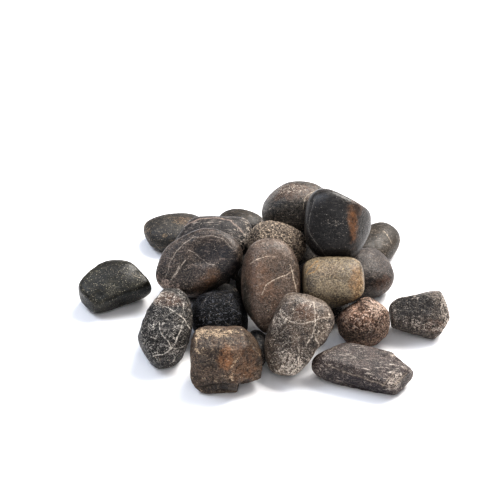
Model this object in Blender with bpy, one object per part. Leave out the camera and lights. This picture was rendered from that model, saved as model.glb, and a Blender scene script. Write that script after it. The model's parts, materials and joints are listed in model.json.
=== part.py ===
"""A set of tumbled basalt massage stones, heaped loosely on a table, one object for each stone.

Frame: metres, +Z up, X along the heap's longer side, origin on the table under the middle of the heap.
Each stone is a cube grid blown up to a pebble and worn back by flat facets.
It is laid at its place and attitude, nudged clear of the stones already laid, and lowered to rest.
"""

import math

import bmesh
import bpy
import numpy as np
from mathutils import Matrix, Vector

MM = 0.001

# Driving dimensions
STONE_GAP = 0.4 * MM  # air left between a stone and the ones it touches
SEAT_WEAR = 1.5 * MM  # how far the underside of a stone on the table is worn flat
NUDGES = 400  # most nudges a stone gets on its way out of an overlap
SETTLED = 0.02 * MM  # overlap of two skins that counts as touching
PATCH_QUADS = 7  # quads along each side of the six patches of a stone
CUT_MERGE = 0.2 * MM  # points this close to the worn flat are taken into it

# The stones, in the order in which they are laid. Sizes and places are in millimetres, turns in degrees.
#   size    length, width and thickness of the rounded body
#   at      where its middle is meant to go: 0 high is as low as the table allows
#   lean    tilt of the broad face from lying flat
#   facing  where the broad face looks when tilted: 0 is -Y, 90 is +X
#   spin    turn of the outline within the broad face
#   swell   exponent of the body: 2 is an ellipsoid, 3 and more is boxy
#   edge    crispness of the facets' edges: 6 is soft, 20 is crisp
#   facets  (azimuth, elevation, depth): flat worn this far into the body
STONES = {
    "core_left_stone": {
        "size": (58, 44, 25),
        "at": (-58, 46, 0),
        "lean": 0,
        "facing": 0,
        "spin": 20,
        "swell": 2.3,
        "edge": 10,
        "facets": [(60, 30, 3)],
        "colour": (0.045, 0.042, 0.040),
        "roughness": 0.60,
    },
    "core_middle_stone": {
        "size": (50, 44, 32),
        "at": (-1, 35, 0),
        "lean": 0,
        "facing": 0,
        "spin": 0,
        "swell": 2.4,
        "edge": 10,
        "facets": [(200, 20, 3)],
        "colour": (0.040, 0.038, 0.037),
        "roughness": 0.60,
    },
    "core_right_stone": {
        "size": (40, 46, 34),
        "at": (44, 36, 0),
        "lean": 0,
        "facing": 0,
        "spin": 0,
        "swell": 2.4,
        "edge": 10,
        "facets": [(120, 30, 3)],
        "colour": (0.055, 0.047, 0.052),
        "roughness": 0.60,
    },
    "core_rear_stone": {
        "size": (66, 48, 32),
        "at": (22, 88, 0),
        "lean": 0,
        "facing": 0,
        "spin": -20,
        "swell": 2.3,
        "edge": 10,
        "facets": [(20, 40, 3)],
        "colour": (0.050, 0.046, 0.042),
        "roughness": 0.60,
    },
    "left_outlier_stone": {
        "size": (66, 56, 36),
        "at": (-131, 24, 0),
        "lean": 8,
        "facing": 0,
        "spin": 0,
        "swell": 2.8,
        "edge": 14,
        "facets": [(250, 78, 5), (300, 20, 8), (135, 10, 9), (42, 15, 7), (225, 0, 4)],
        "colour": (0.036, 0.036, 0.029),
        "roughness": 0.50,
    },
    "rear_left_stone": {
        "size": (64, 48, 27),
        "at": (-82, 119, 0),
        "lean": 5,
        "facing": 0,
        "spin": 0,
        "swell": 2.3,
        "edge": 10,
        "facets": [(110, 30, 2), (200, -10, 2)],
        "colour": (0.060, 0.058, 0.055),
        "roughness": 0.65,
    },
    "rear_small_stone": {
        "size": (46, 38, 28),
        "at": (-21, 130, 0),
        "lean": 0,
        "facing": 0,
        "spin": 0,
        "swell": 2.4,
        "edge": 10,
        "facets": [(60, 40, 2)],
        "colour": (0.085, 0.075, 0.064),
        "roughness": 0.60,
    },
    "rear_right_stone": {
        "size": (60, 38, 28),
        "at": (105, 96, 0),
        "lean": 20,
        "facing": 60,
        "spin": 0,
        "swell": 2.4,
        "edge": 10,
        "facets": [(90, 60, 3)],
        "colour": (0.090, 0.080, 0.068),
        "roughness": 0.60,
    },
    "right_flat_stone": {
        "size": (52, 46, 38),
        "at": (91, 48, 0),
        "lean": 20,
        "facing": 20,
        "spin": 0,
        "swell": 2.5,
        "edge": 10,
        "facets": [(0, 60, 3)],
        "colour": (0.072, 0.066, 0.064),
        "roughness": 0.55,
    },
    "right_outlier_stone": {
        "size": (53, 46, 38),
        "at": (134, -17, 0),
        "lean": 20,
        "facing": 0,
        "spin": 6,
        "swell": 3.2,
        "edge": 16,
        "facets": [(265, 55, 6), (10, 20, 3), (250, 5, 7), (110, 15, 7)],
        "colour": (0.060, 0.053, 0.050),
        "roughness": 0.65,
    },
    "knobbly_stone": {
        "size": (46, 40, 42),
        "at": (86, -26, 0),
        "lean": 10,
        "facing": 0,
        "spin": 0,
        "swell": 2.6,
        "edge": 10,
        "facets": [(45, 30, 3), (300, 20, 3), (135, 35, 6)],
        "colour": (0.085, 0.066, 0.052),
        "roughness": 0.70,
    },
    "dark_middle_stone": {
        "size": (52, 48, 41),
        "at": (-37, -19, 0),
        "lean": 0,
        "facing": 0,
        "spin": 0,
        "swell": 2.4,
        "edge": 10,
        "facets": [(270, 50, 4), (0, 20, 5)],
        "colour": (0.022, 0.023, 0.027),
        "roughness": 0.55,
    },
    "veined_left_stone": {
        "size": (50, 76, 42),
        "at": (-82, -43, 0),
        "lean": 35,
        "facing": 0,
        "spin": 0,
        "swell": 2.5,
        "edge": 10,
        "facets": [(215, 0, 4), (300, 10, 5), (90, 40, 5), (160, 20, 4)],
        "colour": (0.055, 0.052, 0.050),
        "roughness": 0.65,
    },
    "broken_front_stone": {
        "size": (62, 57, 46),
        "at": (-32, -86, 0),
        "lean": 38,
        "facing": 0,
        "spin": 0,
        "swell": 3.8,
        "edge": 18,
        "facets": [(270, 82, 6), (90, 45, 9), (35, 10, 5), (265, 20, 4)],
        "colour": (0.098, 0.070, 0.048),
        "roughness": 0.65,
    },
    "tall_veined_stone": {
        "size": (54, 84, 36),
        "at": (2, -9, 42),
        "lean": 45,
        "facing": 0,
        "spin": 0,
        "swell": 2.3,
        "edge": 10,
        "facets": [(320, 0, 7), (215, 0, 5), (180, 30, 5), (0, 78, 4)],
        "colour": (0.085, 0.068, 0.056),
        "roughness": 0.50,
    },
    "square_olive_stone": {
        "size": (54, 46, 40),
        "at": (54, -3, 42),
        "lean": 35,
        "facing": 0,
        "spin": 0,
        "swell": 3.4,
        "edge": 10,
        "facets": [(100, 60, 4), (300, -25, 8)],
        "colour": (0.110, 0.092, 0.062),
        "roughness": 0.55,
    },
    "mottled_front_stone": {
        "size": (60, 79, 40),
        "at": (28, -58, 22),
        "lean": 50,
        "facing": 0,
        "spin": -5,
        "swell": 2.4,
        "edge": 10,
        "facets": [(325, -8, 17), (160, 5, 4), (75, 10, 3), (200, 70, 3)],
        "colour": (0.085, 0.076, 0.068),
        "roughness": 0.60,
    },
    "long_front_stone": {
        "size": (90, 40, 30),
        "at": (80, -82, 0),
        "lean": 10,
        "facing": 0,
        "spin": -17,
        "swell": 2.9,
        "edge": 12,
        "facets": [(90, 80, 5), (265, 20, 5), (330, 30, 5), (138, 10, 9)],
        "colour": (0.080, 0.071, 0.066),
        "roughness": 0.60,
    },
    "rear_slab_stone": {
        "size": (74, 54, 32),
        "at": (-46, 66, 38),
        "lean": 26,
        "facing": 0,
        "spin": 6,
        "swell": 2.3,
        "edge": 10,
        "facets": [(80, 50, 3)],
        "colour": (0.080, 0.070, 0.072),
        "roughness": 0.60,
    },
    "large_oval_stone": {
        "size": (82, 54, 40),
        "at": (-55, 17, 42),
        "lean": 44,
        "facing": -12,
        "spin": 35,
        "swell": 2.5,
        "edge": 10,
        "facets": [(0, 88, 5), (135, 0, 4), (225, 0, 3), (45, 0, 3), (100, -40, 8), (200, -40, 6)],
        "colour": (0.058, 0.051, 0.046),
        "roughness": 0.50,
    },
    "pitted_stone": {
        "size": (54, 44, 36),
        "at": (11, 36, 60),
        "lean": 25,
        "facing": 0,
        "spin": 0,
        "swell": 2.3,
        "edge": 10,
        "facets": [(60, 20, 3), (200, 30, 3)],
        "colour": (0.075, 0.062, 0.054),
        "roughness": 0.80,
    },
    "rear_top_stone": {
        "size": (64, 50, 46),
        "at": (29, 84, 57),
        "lean": 20,
        "facing": 0,
        "spin": 0,
        "swell": 2.4,
        "edge": 10,
        "facets": [(150, 40, 5), (270, 40, 4)],
        "colour": (0.060, 0.056, 0.052),
        "roughness": 0.55,
    },
    "crown_stone": {
        "size": (60, 66, 46),
        "at": (65, 42, 72),
        "lean": 50,
        "facing": 0,
        "spin": 0,
        "swell": 2.6,
        "edge": 10,
        "facets": [(76, 0, 5), (200, 72, 4), (350, 40, 5)],
        "colour": (0.034, 0.036, 0.038),
        "roughness": 0.35,
    },
    "core_front_stone": {
        "size": (30, 24, 24),
        "at": (-28, 12, 0),
        "lean": 0,
        "facing": 0,
        "spin": 40,
        "swell": 2.4,
        "edge": 10,
        "facets": [(250, 30, 2)],
        "colour": (0.038, 0.037, 0.038),
        "roughness": 0.60,
    },
    "core_wedge_stone": {
        "size": (22, 44, 20),
        "at": (-4, -48, 0),
        "lean": 0,
        "facing": 0,
        "spin": -4,
        "swell": 2.3,
        "edge": 10,
        "facets": [(40, 30, 1)],
        "colour": (0.030, 0.029, 0.029),
        "roughness": 0.60,
    },
    "core_back_stone": {
        "size": (28, 38, 22),
        "at": (-22, 66, 0),
        "lean": 0,
        "facing": 0,
        "spin": 0,
        "swell": 2.4,
        "edge": 10,
        "facets": [(300, 40, 2)],
        "colour": (0.036, 0.034, 0.033),
        "roughness": 0.60,
    },
    "core_far_stone": {
        "size": (22, 30, 34),
        "at": (68, 84, 0),
        "lean": 0,
        "facing": 0,
        "spin": 0,
        "swell": 2.4,
        "edge": 10,
        "facets": [(240, 40, 3)],
        "colour": (0.055, 0.048, 0.052),
        "roughness": 0.60,
    },
    "core_under_stone": {
        "size": (24, 26, 18),
        "at": (64, 4, 0),
        "lean": 0,
        "facing": 0,
        "spin": 0,
        "swell": 2.4,
        "edge": 10,
        "facets": [(60, 40, 2)],
        "colour": (0.034, 0.032, 0.031),
        "roughness": 0.60,
    },
}


def direction(azimuth, elevation):
    """Unit vector at an azimuth and an elevation in degrees, in a stone's own frame."""
    a = math.radians(azimuth)
    e = math.radians(elevation)
    return np.array([math.cos(e) * math.cos(a), math.cos(e) * math.sin(a), math.sin(e)])


def reach_of_body(half, swell, toward):
    """Distance from the centre to the body's tangent plane facing toward: its support function."""
    dual = swell / (swell - 1)
    return float((np.abs(half * toward) ** dual).sum() ** (1 / dual))


def pebble_radius(rays, stone):
    """Distance from the centre to the stone's surface along each unit ray."""
    half = np.array(stone["size"]) * MM / 2
    swell = stone["swell"]
    edge = stone["edge"]
    body = (np.abs(rays / half) ** swell).sum(1) ** (1 / swell)
    total = body**edge
    for azimuth, elevation, depth in stone["facets"]:
        toward = direction(azimuth, elevation)
        plane = reach_of_body(half, swell, toward) - depth * MM
        total += np.maximum(rays @ toward / plane, 0) ** edge
    return total ** (-1 / edge)


def pebble_mesh(name, stone):
    """A cube's grid of quads, evened out, blown up to a sphere and then to the stone."""
    bm = bmesh.new()
    bmesh.ops.create_cube(bm, size=2)
    bmesh.ops.subdivide_edges(bm, edges=bm.edges, cuts=PATCH_QUADS - 1, use_grid_fill=True)
    grid = np.array([vertex.co for vertex in bm.verts])
    rays = np.tan(grid * math.pi / 4)
    rays /= np.linalg.norm(rays, axis=1, keepdims=True)
    points = rays * pebble_radius(rays, stone)[:, None]
    for vertex, point in zip(bm.verts, points):
        vertex.co = point
    bmesh.ops.triangulate(bm, faces=bm.faces, quad_method="SHORT_EDGE")
    bmesh.ops.recalc_face_normals(bm, faces=bm.faces)
    mesh = bpy.data.meshes.new(name)
    bm.to_mesh(mesh)
    bm.free()
    return mesh


def attitude(stone):
    """Rotation that spins the outline, leans the broad face and points it where it faces."""
    spin = Matrix.Rotation(math.radians(stone["spin"]), 3, "Z")
    lean = Matrix.Rotation(math.radians(stone["lean"]), 3, "X")
    facing = Matrix.Rotation(math.radians(stone["facing"]), 3, "Z")
    return facing @ lean @ spin


def depth_within(points, other):
    """How deep each point lies within the skin of another stone: negative is outside."""
    local = (points - other["middle"]) @ other["turn"]
    distance = np.linalg.norm(local, axis=1)
    return pebble_radius(local / distance[:, None], other["stone"]) + STONE_GAP - distance


def deepest_overlap(placed, laid):
    """Depth of the worst overlap with the table or a laid stone, and the way out of it."""
    depth = -SEAT_WEAR - (placed["points"][:, 2] + placed["middle"][2]).min()
    way_out = np.array((0, 0, 1))
    here = dict(placed, points=placed["points"] + placed["middle"])
    for other in laid:
        if np.linalg.norm(here["middle"] - other["middle"]) > here["reach"] + other["reach"]:
            continue
        for probe, body, sign in ((here, other, -1), (other, here, 1)):
            within = depth_within(probe["points"], body)
            worst = within.argmax()
            if within[worst] > depth:
                depth = within[worst]
                way_out = sign * probe["normals"][worst]
    return depth, way_out


def settle(placed, laid):
    """Nudges a stone out of what it overlaps, half the overlap at a time, then lowers it to rest."""
    for _ in range(NUDGES):
        depth, way_out = deepest_overlap(placed, laid)
        if depth < SETTLED:
            break
        placed["middle"] = placed["middle"] + way_out * depth / 2
    while deepest_overlap(placed, laid)[0] < SETTLED:
        placed["middle"] = placed["middle"] - (0, 0, SETTLED)
    placed["middle"] = placed["middle"] + (0, 0, SETTLED)


def wear_flat(mesh, place):
    """Cuts off what is below the table and closes the cut with a flat."""
    back = place.inverted()
    bm = bmesh.new()
    bm.from_mesh(mesh)
    bmesh.ops.bisect_plane(
        bm,
        geom=bm.verts[:] + bm.edges[:] + bm.faces[:],
        dist=CUT_MERGE,
        plane_co=back @ Vector((0, 0, 0)),
        plane_no=back.to_3x3() @ Vector((0, 0, -1)),
        clear_outer=True,
    )
    rim = [edge for edge in bm.edges if edge.is_boundary]
    bmesh.ops.holes_fill(bm, edges=rim)
    bmesh.ops.triangulate(bm, faces=bm.faces)
    bm.to_mesh(mesh)
    bm.free()


def stone_material(name, stone):
    """Plain satin rock in the stone's own colour."""
    material = bpy.data.materials.new(name)
    material.use_nodes = True
    shader = material.node_tree.nodes["Principled BSDF"]
    shader.inputs["Base Color"].default_value = (*stone["colour"], 1)
    shader.inputs["Roughness"].default_value = stone["roughness"]
    shader.inputs["Metallic"].default_value = 0
    return material


def lay(name, stone, laid):
    """Makes a stone, settles it in its place and wears its underside flat at the table."""
    mesh = pebble_mesh(name, stone)
    turn = np.array(attitude(stone))
    points = np.array([vertex.co for vertex in mesh.vertices]) @ turn.T
    placed = {
        "stone": stone,
        "turn": turn,
        "middle": np.array(stone["at"]) * MM,
        "points": points,
        "normals": np.array([vertex.normal for vertex in mesh.vertices]) @ turn.T,
        "reach": np.linalg.norm(points, axis=1).max() + STONE_GAP,
    }
    settle(placed, laid)
    placed["points"] = points + placed["middle"]
    laid.append(placed)
    place = Matrix.Translation(placed["middle"]) @ attitude(stone).to_4x4()
    if placed["points"][:, 2].min() < 0:
        wear_flat(mesh, place)
    mesh.shade_smooth()
    mesh.materials.append(stone_material(name, stone))
    obj = bpy.data.objects.new(name, mesh)
    obj.matrix_world = place
    bpy.context.scene.collection.objects.link(obj)
    return obj


def centre_on_origin(stones, laid):
    """Moves the heap so that the middle of its footprint is the origin."""
    points = np.vstack([placed["points"] for placed in laid])
    middle = (points.min(0) + points.max(0)) / 2
    for obj in stones:
        obj.location -= Vector((middle[0], middle[1], 0))


def build():
    """Clears the scene, lays every stone and centres the heap."""
    for obj in list(bpy.data.objects):
        bpy.data.objects.remove(obj)
    laid = []
    stones = [lay(name, stone, laid) for name, stone in STONES.items()]
    centre_on_origin(stones, laid)


build()
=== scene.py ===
import math
import bpy
import numpy as np
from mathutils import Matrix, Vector
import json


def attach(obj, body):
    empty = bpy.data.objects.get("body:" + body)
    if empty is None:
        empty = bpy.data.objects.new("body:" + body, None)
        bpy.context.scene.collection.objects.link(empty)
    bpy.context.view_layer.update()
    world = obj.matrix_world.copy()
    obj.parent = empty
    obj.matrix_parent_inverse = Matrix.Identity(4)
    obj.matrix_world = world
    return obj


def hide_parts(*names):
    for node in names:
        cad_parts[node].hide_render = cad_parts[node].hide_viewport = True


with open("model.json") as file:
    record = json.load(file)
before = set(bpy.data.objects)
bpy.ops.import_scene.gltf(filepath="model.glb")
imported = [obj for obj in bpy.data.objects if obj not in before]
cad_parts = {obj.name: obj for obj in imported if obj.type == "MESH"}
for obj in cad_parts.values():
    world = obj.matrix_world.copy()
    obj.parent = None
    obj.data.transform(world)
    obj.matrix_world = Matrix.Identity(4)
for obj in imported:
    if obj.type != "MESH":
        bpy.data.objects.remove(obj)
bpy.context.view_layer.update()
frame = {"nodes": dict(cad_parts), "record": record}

# A loose heap of dark tumbled beach pebbles on a white table, sold as basalt massage stones.
# Every packed stone keeps its place. A finer skin is grown over it: worn flats, dents, chips and pits are
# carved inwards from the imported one, and the rock's colours, veins and stains are laid on that skin.
# Blender's lengths are metres, and every length in the dictionaries below is in millimetres.

mm = 0.001

# The face of a stone is the side that looks forwards and up at this angle. Its axes are across, up and out.
faceTilt = math.radians(35)
faceAxes = np.array((
    (1, 0, 0),
    (0, math.sin(faceTilt), math.cos(faceTilt)),
    (0, -math.cos(faceTilt), math.sin(faceTilt)),
))


# A random number from -1 to 1 for each lattice cell. Formula: the cell's three whole numbers are mixed by
# multiplying, shifting and folding them over each other.
def cellNumber(cell, seed):
    mixed = cell @ np.array((73856093, 19349663, 83492791)) + seed * 15485863
    for prime in (2246822519, 3266489917):
        mixed = (mixed ^ (mixed >> 15)) * prime & 0xFFFFFFFF
    return (mixed ^ (mixed >> 13)) / 0x7FFFFFFF - 1


# Smooth noise from -1 to 1. Formula: each point blends the numbers of its cell's eight corners with the
# weight t*t*t*(6t*t - 15t + 10) along each axis.
def softNoise(points, size, seed):
    place = points / size + seed * 7.31
    cell = np.floor(place).astype(np.int64)
    part = place - cell
    near = part**3 * (part * (6 * part - 15) + 10)
    total = np.zeros(len(points))
    for corner in np.ndindex(2, 2, 2):
        weight = np.prod(np.where(corner, near, 1 - near), axis=1)
        total += weight * cellNumber(cell + corner, seed)
    return total


# Noise with finer noise on top. Formula: each layer has half the size and half the height of the last.
def layeredNoise(points, size, layers, seed):
    return sum(softNoise(points, size / 2**k, seed + k) / 2**k for k in range(layers))


# Round pits strewn over a rock. Formula: each lattice cell holds one pit at a random spot, whose bowl is
# (1 - (distance/radius) squared) squared times the radius. Only a share of the cells holds one. The last
# factor brings the deepest bowl to about 1.
def strewnPits(points, spacing, share, seed):
    place = points / spacing
    home = np.floor(place).astype(np.int64)
    depth = np.zeros(len(points))
    for step in np.ndindex(3, 3, 3):
        cell = home + step - 1
        spot = cell + 0.5 + 0.35 * np.stack([cellNumber(cell, seed + k) for k in (1, 2, 3)], axis=1)
        radius = 0.2 + 0.25 * np.abs(cellNumber(cell, seed + 4))
        bowl = np.clip(1 - (np.linalg.norm(place - spot, axis=1) / radius) ** 2, 0, 1) ** 2
        depth = np.maximum(depth, bowl * radius * (cellNumber(cell, seed + 5) < 2 * share - 1))
    return depth * 2.2


# A soft step from 0 to 1. Formula: t*t*(3 - 2t), with t running from low to high.
def softStep(value, low, high):
    t = np.clip((value - low) / (high - low), 0, 1)
    return t * t * (3 - 2 * t)


# A curve through a few points. Formula: the Catmull-Rom cubic between each two neighbours, 8 steps a span.
def curveThrough(points):
    p = np.array(points, float)
    p = np.vstack((2 * p[0] - p[1], p, 2 * p[-1] - p[-2]))
    t = np.linspace(0, 1, 9)[:-1, None]
    spans = [
        0.5 * (2 * b + (c - a) * t + (2 * a - 5 * b + 4 * c - d) * t**2 + (3 * b - a - 3 * c + d) * t**3)
        for a, b, c, d in zip(p, p[1:], p[2:], p[3:])
    ]
    return np.vstack(spans + [p[-2:-1]])


# Distance from flat points to a drawn line. Formula: the nearest point on each straight piece, then the
# smallest of those distances.
def lineDistance(flat, line):
    nearest = np.full(len(flat), 1e3)
    for a, b in zip(line, line[1:]):
        along = np.clip((flat - a) @ (b - a) / max((b - a) @ (b - a), 1e-9), 0, 1)
        nearest = np.minimum(nearest, np.linalg.norm(flat - a - along[:, None] * (b - a), axis=1))
    return nearest


# How far inside an oval a flat point lies: 0 outside, 1 well inside. Formula: 1 at an elliptical radius of
# 0.6 and less, falling softly to 0 at 1.3.
def ovalMask(flat, oval, wobble):
    across, up, halfWide, halfHigh, turn = oval
    c = math.cos(math.radians(turn))
    s = math.sin(math.radians(turn))
    moved = flat - (across, up)
    along = (moved[:, 0] * c + moved[:, 1] * s) / halfWide
    over = (moved[:, 1] * c - moved[:, 0] * s) / halfHigh
    return 1 - softStep(np.hypot(along, over) + wobble, 0.6, 1.3)


# A sphere's grid: six square patches with two parameters a and b each, and their shared edges welded.
# Formula: the ray of a grid point is (1, tan a, tan b) made one long, with a and b from -45 to 45 degrees.
def sphereGrid(quads):
    steps = 2 * np.arange(quads + 1) - quads
    a, b = np.meshgrid(steps, steps, indexing="ij")
    far = np.full_like(a, quads)
    patches = []
    for axis in range(3):
        for patch in ((far, a, b), (-far, b, a)):
            patches.append(np.roll(np.stack(patch, axis=-1).reshape(-1, 3), axis, axis=1))
    spots, which = np.unique(np.vstack(patches), axis=0, return_inverse=True)
    rays = np.tan(spots / quads * math.pi / 4)
    rays /= np.linalg.norm(rays, axis=1, keepdims=True)
    which = which.reshape(6, quads + 1, quads + 1)
    faces = np.stack((which[:, :-1, :-1], which[:, 1:, :-1], which[:, 1:, 1:], which[:, :-1, 1:]), axis=-1)
    return rays, faces.reshape(-1, 4)


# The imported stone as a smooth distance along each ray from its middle, in millimetres.
# Formula: a constant, a tilt, and a sum of weights times |ray - corner ray| cubed, solved so that the
# surface goes through every packed corner.
def packedSkin(node, rays):
    mesh = frame["nodes"][node].data
    corners = np.empty(len(mesh.vertices) * 3)
    mesh.vertices.foreach_get("co", corners)
    corners = np.unique(np.round(corners.reshape(-1, 3) / mm, 3), axis=0)
    middle = (corners.min(axis=0) + corners.max(axis=0)) / 2
    reach = np.linalg.norm(corners - middle, axis=1)
    known = (corners - middle) / reach[:, None]
    bump = np.linalg.norm(known[:, None] - known[None], axis=2) ** 3
    plain = np.hstack((np.ones((len(known), 1)), known))
    system = np.block([[bump + 1e-7 * np.eye(len(known)), plain], [plain.T, np.zeros((4, 4))]])
    weights = np.linalg.solve(system, np.append(reach, np.zeros(4)))
    skin = np.empty(len(rays))
    for part in np.array_split(np.arange(len(rays)), 8):
        gap = np.linalg.norm(rays[part, None] - known[None], axis=2) ** 3
        skin[part] = gap @ weights[:-4] + weights[-4] + rays[part] @ weights[-3:]
    return middle, skin


# Flats worn or broken into a stone. Formula: the skin and each plane's distance along the ray are blended
# by (skin**-k + plane**-k)**(-1/k), where k is the crispness of the edge. Noise makes a broken flat ragged.
# A flat with a fence is a step: it cuts only where across * a + up * b is more than c.
def wearFlats(skin, rays, flats, seed):
    worn = skin.copy()
    for across, up, out, distance, crisp, ragged, *fence in flats:
        toward = np.array((across, up, out)) @ faceAxes
        toward = toward / np.linalg.norm(toward)
        where = rays * worn[:, None]
        plane = distance + ragged * layeredNoise(where, 9, 4, seed)
        facing = np.maximum(rays @ toward, 1e-6)
        cut = worn * (1 + (worn * facing / plane) ** crisp) ** (-1 / crisp)
        share = 1
        for a, b, c in fence:
            share = softStep((where @ faceAxes.T)[:, :2] @ (a, b) - c, -3, 3)
        worn = worn + share * (cut - worn)
    return worn


# The mean of a value over each point's neighbours. Formula: sums along the mesh's edges, both ways,
# divided by the number of edges that meet at the point.
def neighbourMean(values, edges):
    start = np.append(edges[:, 0], edges[:, 1])
    end = np.append(edges[:, 1], edges[:, 0])
    count = np.bincount(start, minlength=len(values))
    sums = [np.bincount(start, column[end], len(values)) for column in values.reshape(len(values), -1).T]
    return (np.stack(sums, axis=1) / count[:, None]).reshape(values.shape)


# How sharply the skin bends, in 1/mm, evened out over a few grid steps: above 0 on ridges, below 0 in dents.
# Formula: the distance from a point to its neighbours' mean, along the normal, over half the edge squared.
def skinBend(points, faces, edges, rounds):
    a, b, c, d = (points[faces[:, k]] for k in range(4))
    facing = np.cross(c - a, d - b)
    normals = np.stack([
        sum(np.bincount(faces[:, k], facing[:, axis], len(points)) for k in range(4)) for axis in range(3)
    ], axis=1)
    normals /= np.linalg.norm(normals, axis=1, keepdims=True)
    lengths = np.linalg.norm(points[edges[:, 0]] - points[edges[:, 1]], axis=1)
    bend = ((points - neighbourMean(points, edges)) * normals).sum(axis=1) * 2 / np.mean(lengths**2)
    for _ in range(rounds):
        bend = (bend + neighbourMean(bend, edges)) / 2
    return bend


# One stone's fine skin, with the marks that its rock needs, as a mesh object in its packed place.
def growSkin(stone):
    seed = stone["seed"]
    rays, faces = sphereGrid(stone["quads"] // (1))
    middle, skin = packedSkin(stone["node"], rays)
    skin = wearFlats(skin, rays, stone["flats"], seed)
    where = rays * skin[:, None]
    flat = (where @ faceAxes.T)[:, :2]
    front = softStep((where @ faceAxes.T)[:, 2], -2, 4)

    # the lines of the veins wander a little, and reach only over the face
    wander = np.stack((softNoise(where, 7, seed + 20), softNoise(where, 7, seed + 21)), axis=1)
    drawn = flat + 0.9 * wander + 0.3 * np.roll(wander, 1, axis=1) * softNoise(where, 2, seed + 22)[:, None]
    vein = np.full(len(where), 9.0)
    for line in stone["veins"]:
        vein = np.minimum(vein, lineDistance(drawn, curveThrough(line)))
    vein = 9 - (9 - np.minimum(vein, 9)) * front

    # relief, in millimetres inwards
    lumpSize, lumpDepth = stone["lumps"]
    relief = lumpDepth * (0.5 + 0.5 * np.clip(layeredNoise(where, lumpSize, 3, seed + 30), -1, 1))
    for across, up, radius, depth in stone["dents"]:
        relief += depth * front * np.exp(-((np.linalg.norm(flat - (across, up), axis=1) / radius) ** 2))
    for across, up, halfWide, halfHigh, turn, depth in stone["dishes"]:
        dish = ovalMask(flat, (across, up, halfWide, halfHigh, turn), 0.1 * wander[:, 0])
        relief += depth * front * dish**2
    pitSize, pitShare, pitDepth = stone["pits"]
    relief += pitDepth * strewnPits(where, pitSize, pitShare, seed + 40)
    gritSize, gritDepth = stone["grit"]
    relief += gritDepth * (0.5 + 0.5 * layeredNoise(where, gritSize, 2, seed + 50))
    relief += stone["veinDepth"] * (1 - softStep(vein, 0.2, 1.1))
    height = where[:, 2] + middle[2]
    relief = np.maximum(relief, 0) * softStep(height, 0.3, 4)
    points = middle + rays * (skin - relief)[:, None]
    points[:, 2] = np.maximum(points[:, 2], 0)

    mesh = bpy.data.meshes.new(stone["node"].replace("_stone", "_pebble"))
    mesh.from_pydata(points * mm, [], faces)
    mesh.polygons.foreach_set("use_smooth", np.ones(len(faces), bool))
    edges = np.empty(len(mesh.edges) * 2, np.int32)
    mesh.edges.foreach_get("vertices", edges)
    bend = skinBend(points, faces, edges.reshape(-1, 2), 5)
    marks = {"vein": vein, "wear": softStep(bend, 0.05, 0.16), "hollow": softStep(-bend, 0.0, 0.12)}
    cloud = 0.35 * layeredNoise(where, 6, 3, seed + 60)
    # the oval marks: stains, scuffs, painted shade, and on the crown a painted reflection and highlight
    for mark in ("rustAndPaintedSheen", "scuffAndPaintedHighlight", "paintedShade"):
        masks = [ovalMask(flat, oval[:5], cloud) * oval[5] for oval in stone[mark]]
        marks[mark] = np.clip(sum(masks), 0, 1) * front if masks else np.zeros(len(where))
    for mark, values in marks.items():
        mesh.attributes.new(mark, "FLOAT", "POINT").data.foreach_set("value", values.astype(np.float32))
    mesh.update()
    pebble = bpy.data.objects.new(mesh.name, mesh)
    bpy.context.scene.collection.objects.link(pebble)
    return pebble, middle


# An sRGB hex colour as the linear one that shaders take
def linear(hexColour):
    parts = [int(hexColour[k:k + 2], 16) / 255 for k in (1, 3, 5)]
    return [p / 12.92 if p <= 0.04045 else ((p + 0.055) / 1.055) ** 2.4 for p in parts] + [1]


# Adds a node. Inputs are given by name or number, each as a value or as another node's output.
def put(tree, kind, inputs, **settings):
    node = tree.nodes.new("ShaderNode" + kind)
    for setting, value in settings.items():
        setattr(node, setting, value)
    for place, value in inputs.items():
        if isinstance(value, bpy.types.NodeSocket):
            tree.links.new(value, node.inputs[place])
        else:
            node.inputs[place].default_value = value
    return node.outputs
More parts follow.
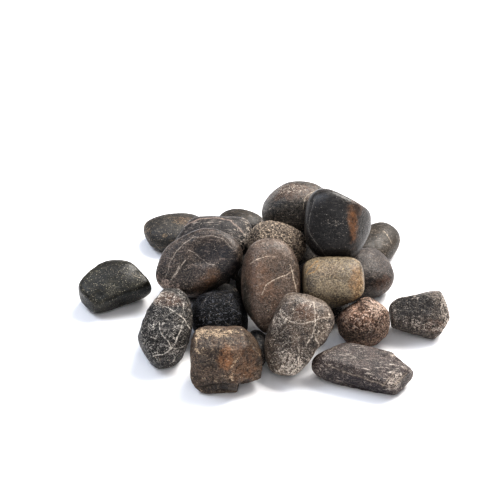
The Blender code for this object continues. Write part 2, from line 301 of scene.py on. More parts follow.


# Sea-tumbled basalt, satin where it has been rubbed and frosted where stones have knocked together.
# The eye gets: a mottled dark body, pale and rusty mineral grains (on the smooth stones the pale ones are
# partly painted glints), frosted ridges, painted shade in the hollows and over shaded flanks and dents,
# broken calcite veins, iron stains, a painted reflection and highlight on the crown, and a sheen that breaks
# up over all of these.
# Basalt's grains are near 0.4 mm, too fine to show on a whole heap, so they are drawn at 1.3 mm.
def tumbledBasalt(stone, middle):
    material = bpy.data.materials.new("tumbledBasalt_" + stone["node"].replace("_stone", ""))
    material.use_nodes = True
    tree = material.node_tree
    tree.nodes.clear()

    place = put(tree, "TexCoord", {})["Object"]
    moved = {"Vector": place, "Location": Vector(middle) * mm}
    centred = put(tree, "Mapping", moved, vector_type="TEXTURE")[0]
    inMm = put(tree, "VectorMath", {0: centred, "Scale": 1 / mm}, operation="SCALE")[0]
    shifted = put(tree, "VectorMath", {0: inMm, 1: (stone["seed"] * 31.0, 17.0, 5.0)}, operation="ADD")[0]
    streaked = put(tree, "Mapping", {"Vector": shifted, "Rotation": stone["lay"], "Scale": (0.16, 1, 1)})[0]
    value = {}
    for name in ("vein", "wear", "hollow", "rustAndPaintedSheen", "scuffAndPaintedHighlight", "paintedShade"):
        value[name] = put(tree, "Attribute", {}, attribute_name=name)["Fac"]

    # patterns, each with its size in millimetres, detail, roughness and distortion
    for name, vector, size, detail, roughness, distortion in (
        ("patches", shifted, stone["patch"], 3, 0.5, 0.5),
        ("mottle", shifted, 3.2, 6, 0.72, 0.0),
        ("grain", shifted, 1.3, 3, 0.8, 0.0),
        ("chafe", shifted, 2.0, 8, 0.85, 0.8),
        ("scored", shifted, 5, 3, 0.55, 1.6),
        ("streaks", streaked, 1.6, 4, 0.6, 0.3),
        ("cracked", shifted, 11, 5, 0.55, 1.2),
    ):
        pattern = {"Vector": vector, "Scale": 1 / size, "Detail": detail, "Roughness": roughness}
        value[name] = put(tree, "TexNoise", {**pattern, "Distortion": distortion})[0]
    crystals = put(tree, "TexVoronoi", {"Vector": shifted, "Scale": 1 / stone["fleckSize"]})
    value["cell"] = crystals["Color"]
    value["cellMiddle"] = crystals["Distance"]
    rare = 1 - 0.5 * stone["flecks"]

    # masks, each made from values above it. A step reads one value from a low to a high and runs softly
    # from a start to an end; the others are the Math node's own operations.
    for name, operation, *terms in (
        ("patchy", "STEP", "patches", 0.36, 0.64, 0, 1),
        ("pale", "STEP", "mottle", 0.48, 0.66, 0, stone["mottle"]),
        ("dark", "STEP", "mottle", 0.5, 0.36, 0, stone["mottle"]),
        ("gritty", "STEP", "grain", 0.51, 0.61, 0, stone["grain"]),
        ("pores", "STEP", "grain", 0.49, 0.38, 0, stone["pores"]),
        # painted shade: these ovals darken the colour towards the shade tone
        ("paintedShading", "MULTIPLY", "paintedShade", 0.8),
        ("chosen", "STEP", "cell", rare, rare + 0.12, 0, 1),
        ("spot", "STEP", "cellMiddle", 0.42, 0.2, 0, 1),
        ("ragged", "STEP", "grain", 0.35, 0.6, 0.25, 1),
        # pale crystals, partly painted glints on the smooth stones
        ("fleckedAndGlinting", "MULTIPLY", "chosen", "spot"),
        ("fleckedAndGlinting", "MULTIPLY", "fleckedAndGlinting", "ragged"),
        ("seeped", "STEP", "mottle", 0.34, 0.62, 0.25, 1),
        # iron stains, and on the crown and the tall veined stone a painted warm sheen
        ("stainAndPaintedSheen", "MULTIPLY", "rustAndPaintedSheen", "seeped"),
        # knocks along the ridges and the scuff ovals; one crown oval is a painted highlight
        ("worn", "MULTIPLY_ADD", "wear", stone["edgeWear"], "scuffAndPaintedHighlight"),
        ("worn", "ADD", "worn", stone["scuffing"]),
        ("worn", "MINIMUM", "worn", 1),
        ("reach", "MULTIPLY_ADD", "worn", -0.26, 0.73),
        ("over", "SUBTRACT", "chafe", "reach"),
        ("knocked", "STEP", "over", 0, 0.05, 0, 1),
        ("frost", "STEP", "grain", 0.3, 0.62, 0.35, 1),
        ("frost", "MULTIPLY", "frost", "knocked"),
        ("frosted", "MULTIPLY", "frost", stone["frost"]),
        ("rubbed", "STEP", "streaks", 0.58, 0.68, 0, stone["streaks"]),
        ("crack", "SUBTRACT", "cracked", 0.5),
        ("crack", "ABSOLUTE", "crack"),
        ("hairline", "STEP", "crack", 0.009, 0.001, 0, stone["web"]),
        ("crossed", "STEP", "chafe", 0.42, 0.56, 0, 1),
        ("hairline", "MULTIPLY", "hairline", "crossed"),
        ("etched", "SUBTRACT", "scored", 0.5),
        ("etched", "ABSOLUTE", "etched"),
        ("etched", "STEP", "etched", 0.022, 0.004, 0, stone["etching"]),
        ("etched", "MULTIPLY", "etched", "crossed"),
        ("jagged", "SUBTRACT", "grain", 0.5),
        ("jagged", "MULTIPLY_ADD", "jagged", 2.2, "vein"),
        ("drawn", "STEP", "jagged", stone["veinWidth"], 0, 0, 1),
        ("filled", "STEP", "chafe", 0.43, 0.52, 0.1, 1),
        ("drawn", "MULTIPLY", "drawn", "filled"),
        ("chalky", "STEP", "vein", 2.4, 0.2, 0, 0.35),
        ("chalky", "MULTIPLY", "chalky", "crossed"),
        # painted shade in the hollows: concave places darkened towards the deep tone
        ("hollowShade", "MULTIPLY", "hollow", 0.75),
        ("rough", "STEP", "mottle", 0.3, 0.7, stone["satin"] - 0.07, stone["satin"] + 0.1),
        ("rough", "MULTIPLY_ADD", "frost", 0.3, "rough"),
        ("rough", "MULTIPLY_ADD", "drawn", 0.25, "rough"),
        ("rough", "MULTIPLY_ADD", "hollow", 0.25, "rough"),
        ("rough", "MINIMUM", "rough", 1),
        ("height", "MULTIPLY", "grain", 0.34 * stone["tooth"]),
        ("height", "MULTIPLY_ADD", "mottle", 1.0 * stone["tooth"], "height"),
        ("height", "MULTIPLY_ADD", "streaks", 0.12 * stone["tooth"], "height"),
        ("height", "MULTIPLY_ADD", "knocked", 0.08, "height"),
        ("height", "MULTIPLY_ADD", "drawn", 0.1, "height"),
    ):
        terms = [value.get(term, term) for term in terms]
        if operation == "STEP":
            limits = dict(zip(("Value", "From Min", "From Max", "To Min", "To Max"), terms))
            value[name] = put(tree, "MapRange", limits, interpolation_type="SMOOTHSTEP")[0]
        else:
            value[name] = put(tree, "Math", dict(enumerate(terms)), operation=operation)[0]

    # the colour, from the body's two tones up to the painted shade in its hollows
    colour = linear(stone["deep"])
    for amount, tone in (
        ("patchy", "body"),
        ("pale", "light"),
        ("dark", "deep"),
        ("gritty", "light"),
        # painted shade over shaded flanks, dents and lower sides
        ("paintedShading", "paintedShading"),
        # iron stains and painted sheen
        ("stainAndPaintedSheen", "stainAndPaintedSheenTone"),
        ("rubbed", "scuffTone"),
        ("hairline", "veinTone"),
        ("etched", "scuffTone"),
        ("frosted", "scuffTone"),
        # pale crystals and painted glints
        ("fleckedAndGlinting", "fleck"),
        ("chalky", "light"),
        ("drawn", "veinTone"),
        ("pores", "pore"),
        # painted shade in the hollows
        ("hollowShade", "deep"),
    ):
        layers = {0: value[amount], 6: colour, 7: linear(stone[tone])}
        colour = put(tree, "Mix", layers, data_type="RGBA")[2]

    normal = put(tree, "Bump", {"Height": value["height"], "Distance": mm, "Strength": 1.0})[0]
    looks = {"Base Color": colour, "Roughness": value["rough"], "Normal": normal, "IOR": stone["ior"]}
    shader = put(tree, "BsdfPrincipled", looks)
    put(tree, "OutputMaterial", {"Surface": shader[0]})
    return material


# What every stone starts from. The marks are places on the stone's face, in millimetres from its middle.
# A number without a unit is an amount: 0 is none and 1 is plenty.
anyPebble = {
    "quads": 66,  # along each side of a stone's six patches
    "flats": [],  # (across, up, out, distance, crispness, raggedness) of each plane, perhaps with a fence
    "dents": [],  # (across, up, radius, depth)
    "dishes": [],  # (across, up, half width, half height, turn, depth)
    "veins": [],  # the points of each line
    "rustAndPaintedSheen": [],  # (across, up, half width, half height, turn, strength) of iron stains and of painted sheen
    "scuffAndPaintedHighlight": [],  # the same, for frosted places, and for a painted highlight where one is painted
    "paintedShade": [],  # the same, for painted shade: places darkened towards the shade tone
    "lumps": (18, 0.6),  # size and depth of the unevenness
    "grit": (2.4, 0.16),  # size and depth of the grains that stand out
    "pits": (6, 0.25, 0.25),  # spacing, share of places that have one, depth
    "veinDepth": 0.12,  # how far a vein lies below the skin, in millimetres
    "veinWidth": 0.6,  # from its middle to its edge, in millimetres
    "deep": "#191715",
    "body": "#37322e",
    "light": "#6a6058",
    # the tone of the painted shade
    "paintedShading": "#1b1918",
    "fleck": "#b9ab9a",
    "scuffTone": "#cfc3b6",
    "veinTone": "#cdbfac",
    "pore": "#0c0b0a",
    "stainAndPaintedSheenTone": "#74492a",
    "patch": 15,  # size of the large patches of "deep" and "body", in millimetres
    "mottle": 0.4,  # clouds of "light" and "deep"
    "flecks": 0.25,  # pale crystals, which on the smooth stones also stand in for painted glints
    "fleckSize": 1.7,  # in millimetres
    "lay": (0.3, 0.2, 0.5),  # turn of the rub marks, in radians
    "streaks": 0.2,  # rub marks
    "scuffing": 0.3,  # knocks all over
    "edgeWear": 0.6,  # knocks along the ridges
    "frost": 0.85,  # whiteness of the knocks
    "grain": 0.5,  # pale grains
    "pores": 0.7,  # dark grains
    "etching": 0.4,  # short scored lines
    "web": 0.35,  # hairline cracks
    "tooth": 1.0,  # height of the finest relief
    "satin": 0.44,  # the sheen's roughness
    "ior": 1.47,  # index of refraction
}

bodyOf = {node: body for body, nodes in frame["record"]["behaviour"]["bodies"].items() for node in nodes}


# Lays one stone: grows its skin, gives it its rock, ties it to its body and hides its imported node.
def layPebble(changes):
    stone = {**anyPebble, **changes}
    pebble, middle = growSkin(stone)
    pebble.data.materials.append(tumbledBasalt(stone, middle))
    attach(pebble, bodyOf[stone["node"]])
    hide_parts(stone["node"])
    print("laid", pebble.name, "with", len(pebble.data.polygons), "faces")


leftOutlier = {
    "node": "left_outlier_stone",
    "seed": 1,
    "flats": [
        (0.34, -0.94, 0, 18.7, 8, 0.2),
        (0.42, -0.72, 0.55, 16.8, 12, 0.3),
        (0.1, 0.35, 0.93, 14.5, 10, 0),
    ],
    "dents": [(-13, -8, 5, 2.6), (19, 16, 7, 2.6), (6, -16, 5, 2.0)],
    "veins": [[(17, 14), (20, 11), (23, 9)]],
    # painted shade on the lower flank and in a dent
    "paintedShade": [(14, -13, 20, 9, 25, 1.0), (-14, -9, 6, 4, 40, 0.8)],
    "lumps": (24, 0.8),
    "pits": (5, 0.3, 0.15),
    "deep": "#131310",
    "body": "#25241c",
    "light": "#443e32",
    "paintedShading": "#171b1b",
    "fleck": "#aaa28e",
    "scuffTone": "#a59b86",
    "mottle": 0.2,
    "flecks": 0.8,
    "fleckSize": 1.05,
    "streaks": 0.1,
    "scuffing": 0.0,
    "grain": 0.3,
    "pores": 0.3,
    "etching": 0.0,
    "web": 0.0,
    "tooth": 0.45,
    "satin": 0.36,
}
layPebble(leftOutlier)

rearLeft = {
    "node": "rear_left_stone",
    "seed": 2,
    "rustAndPaintedSheen": [(12, 12, 10, 5, -10, 0.15)],
    "scuffAndPaintedHighlight": [(10, 10, 20, 7, -15, 0.5), (-10, -4, 3, 2, 20, 1.0)],
    "deep": "#1c1c1c",
    "body": "#31302e",
    "light": "#5a534a",
    "scuffTone": "#a08c74",
    "mottle": 0.25,
    "flecks": 0.5,
    "fleckSize": 1.0,
    "grain": 0.3,
    "pores": 0.4,
    "etching": 0.15,
    "tooth": 0.45,
    "satin": 0.5,
}
layPebble(rearLeft)

rearSlab = {
    "node": "rear_slab_stone",
    "seed": 3,
    "flats": [(0, 1, 0, 20.5, 12, 0.2), (-0.81, 0.59, 0, 26.5, 12, 0.2)],
    "veins": [[(-35, -4), (-31, 5), (-20, 14), (-6, 18), (10, 18), (21, 12), (28, 4)]],
    "scuffAndPaintedHighlight": [(26, 0, 10, 12, 30, 0.45), (-30, -8, 8, 6, 0, 0.3)],
    "veinWidth": 0.9,
    "deep": "#110f0f",
    "body": "#211d1b",
    "light": "#352e2d",
    "fleck": "#a2958a",
    "veinTone": "#a8978c",
    "mottle": 0.3,
    "flecks": 0.55,
    "fleckSize": 1.5,
    "streaks": 0.4,
    "pores": 0.5,
    "etching": 0.2,
    "tooth": 0.7,
    "satin": 0.5,
}
layPebble(rearSlab)

largeOval = {
    "node": "large_oval_stone",
    "seed": 4,
    "dishes": [(8, 10, 19, 14, 15, 1.6), (-6, -8, 20, 12, 35, 0.8)],
    "veins": [
        [(-9, 12), (-3, 9), (3, 5), (9, 0), (15, -1)],
        [(-29, -12), (-24, 4), (-12, 18), (3, 24), (18, 23), (28, 14)],
        [(-18, -2), (-21, -8), (-26, -18)],
        [(-12, 3), (-17, -3), (-22, -12)],
    ],
    "rustAndPaintedSheen": [(11, -11, 8, 6, 40, 0.4), (2, -18, 12, 5, 25, 0.25)],
    "scuffAndPaintedHighlight": [(-22, -24, 14, 6, -40, 1.0), (-2, -29, 20, 4, 10, 0.9), (-14, 12, 5, 4, 20, 0.45)],
    # painted shade in the upper dish and down the right flank
    "paintedShade": [(9, 10, 14, 9, 15, 0.75), (28, -4, 9, 20, 15, 1.0)],
    "veinWidth": 0.6,
    "deep": "#1c1816",
    "body": "#403732",
    "light": "#6e6258",
    "paintedShading": "#17181e",
    "scuffTone": "#b8a497",
    "veinTone": "#cbbfb2",
    "stainAndPaintedSheenTone": "#7c5a3c",
    "mottle": 0.25,
    "flecks": 0.5,
    "fleckSize": 1.0,
    "streaks": 0.25,
    "scuffing": 0.1,
    "grain": 0.65,
    "pores": 0.65,
    "etching": 0.2,
    "tooth": 0.6,
    "satin": 0.36,
}
layPebble(largeOval)

veinedLeft = {
    "node": "veined_left_stone",
    "seed": 5,
    "flats": [
        (-0.97, 0.23, 0, 19.8, 16, 0.8),
        (-0.84, 0.54, 0, 19.6, 20, 0.8),
        (0.9, -0.3, 0.1, 24, 18, 0.8),
    ],
    "dents": [(-5, -15, 6, 2.4), (-16, 2, 5, 0.8)],
    "veins": [
        [(-3, 20), (4, 17), (12, 12), (18, 7), (23, -2)],
        [(8, -18), (4, -10), (-2, -4), (-4, 6)],
        [(8, -18), (12, -10), (15, 0), (17, 6)],
        [(8, -18), (-2, -12), (-10, -8)],
        [(8, -18), (16, -16), (22, -14)],
        [(8, -18), (9, -26), (5, -31)],
        [(8, -18), (0, -22), (-9, -24)],
    ],
    "rustAndPaintedSheen": [(2, 24, 16, 5, -10, 0.3)],
    "scuffAndPaintedHighlight": [(9, -19, 6, 7, 20, 0.9), (-4, 25, 17, 5, -10, 0.55), (18, 2, 6, 10, 10, 0.4)],
    # painted shade around the lower dent
    "paintedShade": [(-5, -13, 9, 5, 30, 0.9)],
    "lumps": (13, 1.5),
    "grit": (2.2, 0.35),
    "pits": (4.5, 0.45, 0.4),
    "veinWidth": 0.7,
    "deep": "#0b0a0a",
    "body": "#191716",
    "light": "#35322e",
    "scuffTone": "#d8d0c6",
    "veinTone": "#f2eadf",
    "mottle": 0.25,
    "flecks": 0.45,
    "scuffing": 0.08,
    "edgeWear": 0.4,
    "grain": 0.4,
    "pores": 0.5,
    "etching": 0.7,
    "web": 1.0,
    "tooth": 1.1,
    "satin": 0.46,
}
layPebble(veinedLeft)

brokenFront = {
    "node": "broken_front_stone",
    "seed": 6,
    "flats": [
        (-0.3, -0.5, 0.81, 20.2, 60, 0.5),
        (0.6, -0.3, 0.74, 21.6, 60, 0.5),
        (0.1, -1, 0, 20.5, 40, 1.4, (1, 0, 12)),
        (0.05, -1, 0.15, 27, 40, 1.2, (1, 0, -10)),
        (0.75, 0.55, 0.2, 27, 24, 0.5),
        (-1, 0.1, 0.1, 29.5, 24, 0.6),
        (0.0, 0.62, 0.78, 23, 40, 0.5),
    ],
    "dents": [(13, -4, 5, 1.2), (20, -22, 6, 3.5), (-4, -25, 4, 1.5)],
    "dishes": [(-8, 2, 10, 10, -10, 1.2), (-6, -24, 22, 5, 4, 1.6)],
    "rustAndPaintedSheen": [(0, 3, 6, 13, -12, 0.5), (14, -2, 14, 18, 0, 0.25), (20, -12, 5, 7, 0, 0.2)],
    "scuffAndPaintedHighlight": [
        (-8, 24, 22, 5, 0, 0.9),
        (-20, 14, 5, 8, 0, 0.4),
        (-2, -14, 20, 3.5, 5, 0.6),
        (8, 3, 2.2, 14, -5, 0.5),
    ],
    # painted shade in the left dish, along the foot and on the right shoulder
    "paintedShade": [(-13, 3, 9, 12, 0, 0.6), (-2, -26, 24, 8, 5, 0.85), (21, 15, 10, 14, -30, 1.0)],
    "lumps": (13, 1.5),
    "grit": (2.4, 0.4),
    "pits": (5, 0.3, 0.3),
    "deep": "#281f18",
    "body": "#4a3b2f",
    "light": "#786453",
    "paintedShading": "#1d1918",
    "fleck": "#b59a7a",
    "scuffTone": "#d2bda2",
    "stainAndPaintedSheenTone": "#9c6c44",
    "mottle": 0.22,
    "flecks": 0.3,
    "scuffing": 0.05,
    "grain": 0.6,
    "pores": 0.7,
    "etching": 0.45,
    "web": 0.2,
    "tooth": 0.9,
    "satin": 0.42,
}
layPebble(brokenFront)

darkMiddle = {
    "node": "dark_middle_stone",
    "seed": 7,
    "deep": "#050606",
    "body": "#0a0a0d",
    "light": "#16171b",
    "fleck": "#8f9096",
    "scuffTone": "#a3a4aa",
    "mottle": 0.2,
    "flecks": 0.45,
    "fleckSize": 1.0,
    "streaks": 0.25,
    "scuffing": 0.12,
    "frost": 0.35,
    "grain": 0.7,
    "etching": 0.5,
    "tooth": 1.0,
    "satin": 0.48,
    "ior": 1.28,
}
layPebble(darkMiddle)

rearSmall = {
    "node": "rear_small_stone",
    "seed": 8,
    "veins": [[(-8, 3), (-3, 0), (0, -4)]],
    "rustAndPaintedSheen": [(-4, 0, 6, 4, -30, 0.5)],
    "deep": "#14110f",
    "body": "#29241f",
    "light": "#3e372f",
    "veinTone": "#9c7f55",
    "mottle": 0.25,
    "grain": 0.3,
    "pores": 0.4,
    "etching": 0.15,
    "tooth": 0.45,
    "satin": 0.5,
}
layPebble(rearSmall)

rearTop = {
    "node": "rear_top_stone",
    "seed": 9,
    "veins": [[(18, 16), (10, 12), (6, 6), (5, -2)]],
    "rustAndPaintedSheen": [(0, 14, 22, 8, 0, 0.25)],
    "scuffAndPaintedHighlight": [(-6, 17, 16, 5, 5, 0.5), (8, 9, 6, 4, 30, 0.5), (-2, -6, 8, 4, 0, 0.4)],
    "veinWidth": 0.6,
    "deep": "#1d1c1b",
    "body": "#373431",
    "light": "#625b52",
    "mottle": 0.25,
    "flecks": 0.4,
    "fleckSize": 1.0,
    "grain": 0.65,
    "pores": 0.65,
    "etching": 0.25,
    "tooth": 0.7,
    "satin": 0.4,
}
layPebble(rearTop)

crown = {
    "node": "crown_stone",
    "seed": 10,
    "flats": [
        (0.48, 0.88, 0, 23.5, 14, 0),
        (0.86, -0.51, 0, 30.2, 16, 0),
        (0.8, 0.1, 0.6, 26.5, 14, 0),
    ],
    "veins": [
        [(-28, -2), (-25, -10), (-18, -20), (-11, -30)],
        [(-21, 22), (-25, 10), (-27, -2)],
    ],
    # the first oval is a painted reflection: an orange sheen down the right of the face
    "rustAndPaintedSheen": [(12, -4, 4.5, 15, 6, 0.6), (14, 12, 8, 8, 0, 0.15)],
    # the second oval is a painted highlight: a pale streak beside the painted reflection
    "scuffAndPaintedHighlight": [
        (-7, 0, 8, 6, -20, 0.6),
        (5, -5, 3.5, 14, 0, 0.55),
        (27, -4, 4, 12, 0, 0.5),
        (20, 18, 10, 4, -40, 0.3),
    ],
    # painted shade over the left half of the face
    "paintedShade": [(-10, 0, 22, 26, 0, 0.6)],
    "grit": (2.4, 0.06),
    "veinWidth": 0.45,
    "deep": "#1b1918",
    "body": "#2e2b2a",
    "light": "#4e4a46",
    "paintedShading": "#181819",
    "fleck": "#c9c2b8",
    "veinTone": "#8b8780",
    "stainAndPaintedSheenTone": "#8f6645",
    "mottle": 0.25,
    "flecks": 0.35,
    "fleckSize": 0.95,
    "streaks": 0.12,
    "scuffing": 0.1,
    "grain": 0.45,
    "pores": 0.45,
    "etching": 0.08,
    "web": 0.1,
    "tooth": 0.4,
    "satin": 0.32,
}
layPebble(crown)

pitted = {
    "node": "pitted_stone",
    "seed": 11,
    "lumps": (16, 1.0),
    "grit": (1.9, 0.5),
    "pits": (3.6, 0.6, 0.45),
    "deep": "#2e2825",
    "body": "#5c5045",
    "light": "#c4b19b",
    "fleck": "#d6c3aa",
    "scuffTone": "#dccab4",
    "mottle": 0.2,
    "flecks": 1.1,
    "fleckSize": 1.35,
    "streaks": 0.0,
    "scuffing": 0.45,
    "edgeWear": 0.5,
    "grain": 0.5,
    "pores": 0.7,
    "tooth": 1.5,
    "satin": 0.65,
}
layPebble(pitted)

tallVeined = {
    "node": "tall_veined_stone",
    "seed": 12,
    "veins": [
        [(-9, -6), (-4, 2), (2, 6), (9, 9), (19, 14)],
        [(16, 19), (18, 12), (20, 3), (22, -5)],
        [(-18, 19), (-12, 24), (-4, 26), (4, 25)],
    ],
    # the first oval is a warm tint that is partly painted sheen on the middle of the face
    "rustAndPaintedSheen": [(-10, 7, 12, 20, 10, 0.45), (2, -10, 10, 12, 0, 0.25)],
    "scuffAndPaintedHighlight": [(-23, 8, 3, 16, 0, 0.5), (-14, 24, 8, 4, 30, 0.4)],
    # painted shade on the left flank and at the lower right
    "paintedShade": [(-25, -10, 8, 24, 0, 1.0), (24, -20, 6, 12, 20, 0.6)],
    "veinWidth": 0.65,
    "deep": "#342b25",
    "body": "#5a4c42",
    "light": "#867263",
    "paintedShading": "#282822",
    "veinTone": "#e2d2be",
    "stainAndPaintedSheenTone": "#80604a",
    "mottle": 0.25,
    "flecks": 0.5,
    "fleckSize": 1.0,
    "streaks": 0.2,
    "scuffing": 0.15,
    "grain": 0.5,
    "pores": 0.5,
    "etching": 0.25,
    "web": 0.15,
    "tooth": 0.7,
    "satin": 0.36,
}
layPebble(tallVeined)

mottledFront = {
    "node": "mottled_front_stone",
    "seed": 13,
    "flats": [(0.79, -0.62, 0, 25.2, 18, 0.5), (0, -1, 0, 33.5, 16, 0.6)],
    "dents": [(15, -12, 6, 2.0), (24, 2, 5, 0.6)],
    "veins": [
        [(-18, 19), (-11, 14), (-2, 11), (8, 12), (19, 15), (27, 16)],
        [(12, 29), (12, 20), (12, 12), (9, 0), (5, -8)],
        [(-2, -9), (-1, -20), (-1, -31)],
        [(12, 0), (17, -10), (8, -22)],
    ],
    "rustAndPaintedSheen": [(4, 20, 10, 8, 0, 0.35)],
    "scuffAndPaintedHighlight": [
        (-17, 15, 8, 8, 40, 0.75),
        (-8, -18, 12, 8, -20, 0.8),
        (18, 6, 9, 12, -20, 0.6),
        (-4, -29, 14, 5, 0, 0.6),
        (8, 26, 12, 6, 0, 0.5),
    ],
    # painted shade on the left of the face and at the lower right
    "paintedShade": [(-15, -2, 8, 18, 10, 0.7), (22, -14, 6, 12, -20, 0.8)],
    "lumps": (15, 1.4),
    "grit": (2.4, 0.25),
    "veinWidth": 0.65,
    "deep": "#2d2723",
    "body": "#574b41",
    "light": "#8a7b6d",
    "fleck": "#c2b5a3",
    "scuffTone": "#e2d6c8",
    "veinTone": "#e6dacb",
    "mottle": 0.2,
    "flecks": 0.6,
    "fleckSize": 1.2,
    "scuffing": 0.12,
    "grain": 0.35,
    "pores": 0.5,
    "etching": 0.6,
    "web": 0.6,
    "tooth": 0.7,
    "satin": 0.4,
}
layPebble(mottledFront)

squareOlive = {
    "node": "square_olive_stone",
    "seed": 14,
    "veins": [
        [(-13, 20), (-17, 18), (-21, 14), (-24, 10)],
        [(-12, 17), (-16, 12), (-22, 9)],
    ],
    "rustAndPaintedSheen": [(20, 4, 7, 16, 0, 0.5), (-6, 14, 16, 6, 0, 0.15)],
    "scuffAndPaintedHighlight": [(12, -6, 14, 8, 0, 0.35), (24, 0, 3, 16, 0, 0.5)],
    "veinWidth": 0.7,
    "deep": "#473d31",
    "body": "#716554",
    "light": "#988b72",
    "fleck": "#c0aa80",
    "scuffTone": "#c3ac88",
    "veinTone": "#a27d4c",
    "stainAndPaintedSheenTone": "#8f6a42",
    "mottle": 0.25,
    "flecks": 0.35,
    "streaks": 0.1,
    "scuffing": 0.1,
    "grain": 0.65,
    "pores": 0.65,
    "etching": 0.25,
    "web": 0.15,
    "tooth": 0.7,
    "satin": 0.38,
}
layPebble(squareOlive)

knobbly = {
    "node": "knobbly_stone",
    "seed": 15,
    "dents": [(-4, 11, 4.5, 2.6), (-10, 4, 4, 1.0)],
    "rustAndPaintedSheen": [(-4, 6, 14, 10, 0, 0.4)],
    "scuffAndPaintedHighlight": [(9, 12, 9, 7, 0, 0.8), (0, 0, 16, 10, 0, 0.35)],
    # painted shade in the upper dent and along the bottom of the face
    "paintedShade": [(-4, 11, 4, 3, 0, 0.9), (-4, -13, 16, 6, 0, 0.7)],
    "lumps": (12, 1.6),
    "grit": (2.0, 0.5),
    "pits": (4, 0.5, 0.4),
    "deep": "#352921",
    "body": "#675446",
    "light": "#d1b19d",
    "fleck": "#c0a48e",
    "scuffTone": "#dac4b4",
    "mottle": 0.25,
    "flecks": 0.9,
    "fleckSize": 1.4,
    "streaks": 0.0,
    "scuffing": 0.3,
    "edgeWear": 0.5,
    "grain": 0.5,
    "pores": 0.7,
    "tooth": 1.5,
    "satin": 0.6,
}
layPebble(knobbly)

longFront = {
    "node": "long_front_stone",
    "seed": 16,
    "flats": [
        (0.65, 0.76, 0, 26, 20, 0.3, (1, 0, 25)),
        (0.1, 0.5, 0.86, 14.5, 30, 0.3),
        (-0.25, -0.85, 0.45, 15.5, 34, 0.7),
        (0.7, -0.5, 0.5, 33, 14, 0.5),
    ],
    "dents": [(17, 15, 3, 3.0), (27, 8, 4, 1.8)],
    "veins": [
        [(-33, 6), (-22, 0), (-6, -4), (8, -9), (20, -14)],
        [(34, -2), (27, -8), (20, -15)],
        [(24, 0), (18, -6), (14, -12)],
    ],
    "rustAndPaintedSheen": [(15, 18, 4, 3, 0, 1.0)],
    "scuffAndPaintedHighlight": [(24, -8, 8, 6, 40, 0.8), (-10, -1, 24, 2.5, -14, 0.5), (28, 14, 6, 5, 0, 0.3)],
    # painted shade along the lower part of the face
    "paintedShade": [(-4, -12, 36, 6, -20, 1.0)],
    "lumps": (18, 1.0),
    "grit": (2.2, 0.25),
    "veinWidth": 0.8,
    "deep": "#231d1e",
    "body": "#3f3533",
    "light": "#645850",
    "paintedShading": "#241d22",
    "scuffTone": "#d0c4b8",
    "veinTone": "#a89c8d",
    "mottle": 0.2,
    "flecks": 0.2,
    "lay": (0.0, 0.0, 0.25),
    "streaks": 0.6,
    "scuffing": 0.12,
    "grain": 0.4,
    "pores": 0.55,
    "etching": 0.5,
    "tooth": 0.9,
    "satin": 0.45,
}
layPebble(longFront)

rightOutlier = {
    "node": "right_outlier_stone",
    "seed": 17,
    "flats": [
        (-0.27, -0.96, 0, 20, 18, 0.6),
        (0.83, -0.56, 0, 24.8, 20, 0.6),
        (-0.18, 0.98, 0, 16.5, 18, 0.4),
        (-0.2, 0.25, 0.94, 14.5, 44, 0.2),
        (0.65, 0.0, 0.76, 19.5, 44, 0.4),
        (-0.05, -0.6, 0.8, 15.6, 36, 0.6),
    ],
    "rustAndPaintedSheen": [(12, -12, 12, 6, 0, 0.3)],
    "scuffAndPaintedHighlight": [(22, 4, 6, 18, 0, 0.95), (4, -12, 20, 5, -15, 0.9)],
    # painted shade over the left middle of the face
    "paintedShade": [(-8, 5, 18, 11, 0, 0.9)],
    "lumps": (14, 1.2),
    "grit": (2.2, 0.35),
    "deep": "#1c1917",
    "body": "#38312d",
    "light": "#8c7e72",
    "scuffTone": "#d8ccc0",
    "mottle": 0.25,
    "flecks": 0.35,
    "lay": (0.2, 0.3, 1.4),
    "streaks": 0.4,
    "scuffing": 0.0,
    "edgeWear": 0.4,
    "grain": 0.4,
    "pores": 0.7,
    "etching": 0.5,
    "web": 0.4,
    "tooth": 1.1,
    "satin": 0.42,
}
layPebble(rightOutlier)

rightFlat = {
    "node": "right_flat_stone",
    "seed": 18,
    "rustAndPaintedSheen": [(16, -10, 9, 7, 0, 0.3)],
    "scuffAndPaintedHighlight": [(16, -12, 8, 6, 0, 0.5)],
    "deep": "#211d1c",
    "body": "#3b3431",
    "light": "#5d524c",
    "mottle": 0.25,
    "flecks": 0.3,
    "fleckSize": 1.0,
    "scuffing": 0.05,
    "grain": 0.65,
    "pores": 0.65,
    "etching": 0.15,
    "tooth": 0.7,
    "satin": 0.45,
}
layPebble(rightFlat)

rearRight = {
    "node": "rear_right_stone",
    "seed": 19,
    "veins": [[(2, 18), (8, 12), (14, 2)]],
    "veinWidth": 0.5,
    "deep": "#1b1712",
    "body": "#322b23",
    "light": "#4e4337",
    "mottle": 0.25,
    "grain": 0.3,
    "pores": 0.4,
    "etching": 0.15,
    "tooth": 0.45,
    "satin": 0.48,
}
layPebble(rearRight)

# The buried stones show only through gaps and when the heap is taken apart.
for node, seed, tones in (
    ("core_left_stone", 20, ("#161514", "#2c2926", "#4b453f")),
    ("core_middle_stone", 21, ("#151413", "#282523", "#46413d")),
    ("core_right_stone", 22, ("#201b1d", "#3d3537", "#5f5355")),
    ("core_rear_stone", 23, ("#1b1917", "#34302c", "#544d45")),
    ("core_front_stone", 24, ("#121213", "#222224", "#3c3b3c")),
    ("core_wedge_stone", 25, ("#0e0e0e", "#1b1a1a", "#302e2c")),
    ("core_back_stone", 26, ("#131211", "#242220", "#403c38")),
    ("core_far_stone", 27, ("#1c191b", "#38333a", "#575058")),
    ("core_under_stone", 28, ("#100f0f", "#1e1c1c", "#35322f")),
):
    buried = {"node": node, "seed": seed, "quads": 42, "deep": tones[0], "body": tones[1], "light": tones[2]}
    layPebble(buried)


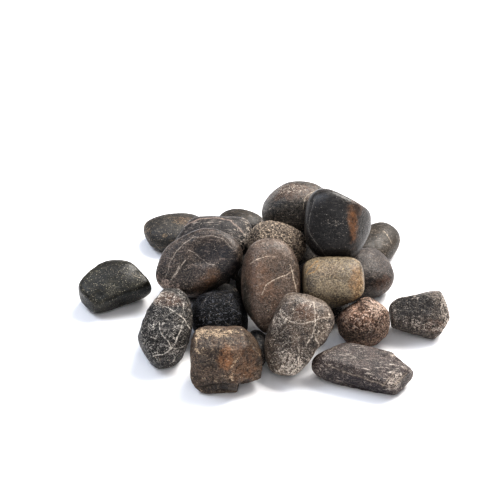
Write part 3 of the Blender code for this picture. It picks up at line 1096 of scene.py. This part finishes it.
# A white laminate table top, plain and matt. It lies a hair below the stones, so that no faces coincide.
table = {"half": 4.0, "height": -0.0003, "tone": "#f4f4f5", "satin": 0.6}
floorMesh = bpy.data.meshes.new("table_top")
signs = ((-1, -1), (1, -1), (1, 1), (-1, 1))
corners = [(a * table["half"], b * table["half"], table["height"]) for a, b in signs]
floorMesh.from_pydata(corners, [], [(0, 1, 2, 3)])
floor = bpy.data.objects.new("table_top", floorMesh)
bpy.context.scene.collection.objects.link(floor)
laminate = bpy.data.materials.new("whiteLaminate")
laminate.use_nodes = True
sheen = laminate.node_tree.nodes["Principled BSDF"]
sheen.inputs["Base Color"].default_value = linear(table["tone"])
sheen.inputs["Roughness"].default_value = table["satin"]
floorMesh.materials.append(laminate)

# A wide softbox behind and to the right, a cool one at the left, a weak fill in front, and a white room
lamps = [
    {"name": "back_softbox", "at": (0.75, 0.75, 1.35), "size": 1.1, "watts": 46, "tone": "#fffcf8"},
    {"name": "left_softbox", "at": (-0.9, 0.1, 1.2), "size": 0.7, "watts": 9, "tone": "#e6f0ff"},
    {"name": "front_fill", "at": (0.1, -1.4, 1.3), "size": 1.4, "watts": 8, "tone": "#ffffff"},
]
for lamp in lamps:
    light = bpy.data.lights.new(lamp["name"], "AREA")
    light.shape = "SQUARE"
    light.size = lamp["size"]
    light.energy = lamp["watts"]
    light.color = linear(lamp["tone"])[:3]
    holder = bpy.data.objects.new(lamp["name"], light)
    holder.location = lamp["at"]
    holder.rotation_euler = (Vector((0, 0, 0.03)) - holder.location).to_track_quat("-Z", "Y").to_euler()
    holder.visible_camera = False
    bpy.context.scene.collection.objects.link(holder)

walls = {"tone": "#fbfaff", "strength": 0.36}
room = bpy.data.worlds.new("white_room")
room.use_nodes = True
background = room.node_tree.nodes["Background"]
background.inputs["Color"].default_value = linear(walls["tone"])
background.inputs["Strength"].default_value = walls["strength"]
bpy.context.scene.world = room
bpy.context.scene.view_settings.view_transform = "Standard"
bpy.context.scene.view_settings.look = "High Contrast"

# A long lens, tilted down. Its place is in metres, its tilt in degrees, its lens and sensor in millimetres.
view = {"aim": (-0.0106, 0.0252, 0.045), "tilt": 35, "distance": 1.25, "lens": 102, "sensor": 36}
camera = bpy.data.cameras.new("table_camera")
camera.lens = view["lens"]
camera.sensor_width = view["sensor"]
camera.clip_start = 0.01
eye = bpy.data.objects.new("table_camera", camera)
tilt = math.radians(view["tilt"])
eye.location = Vector(view["aim"]) + view["distance"] * Vector((0, -math.cos(tilt), math.sin(tilt)))
eye.rotation_euler = (math.pi / 2 - tilt, 0, 0)
bpy.context.scene.collection.objects.link(eye)
bpy.context.scene.camera = eye
print("table, lamps and camera placed")
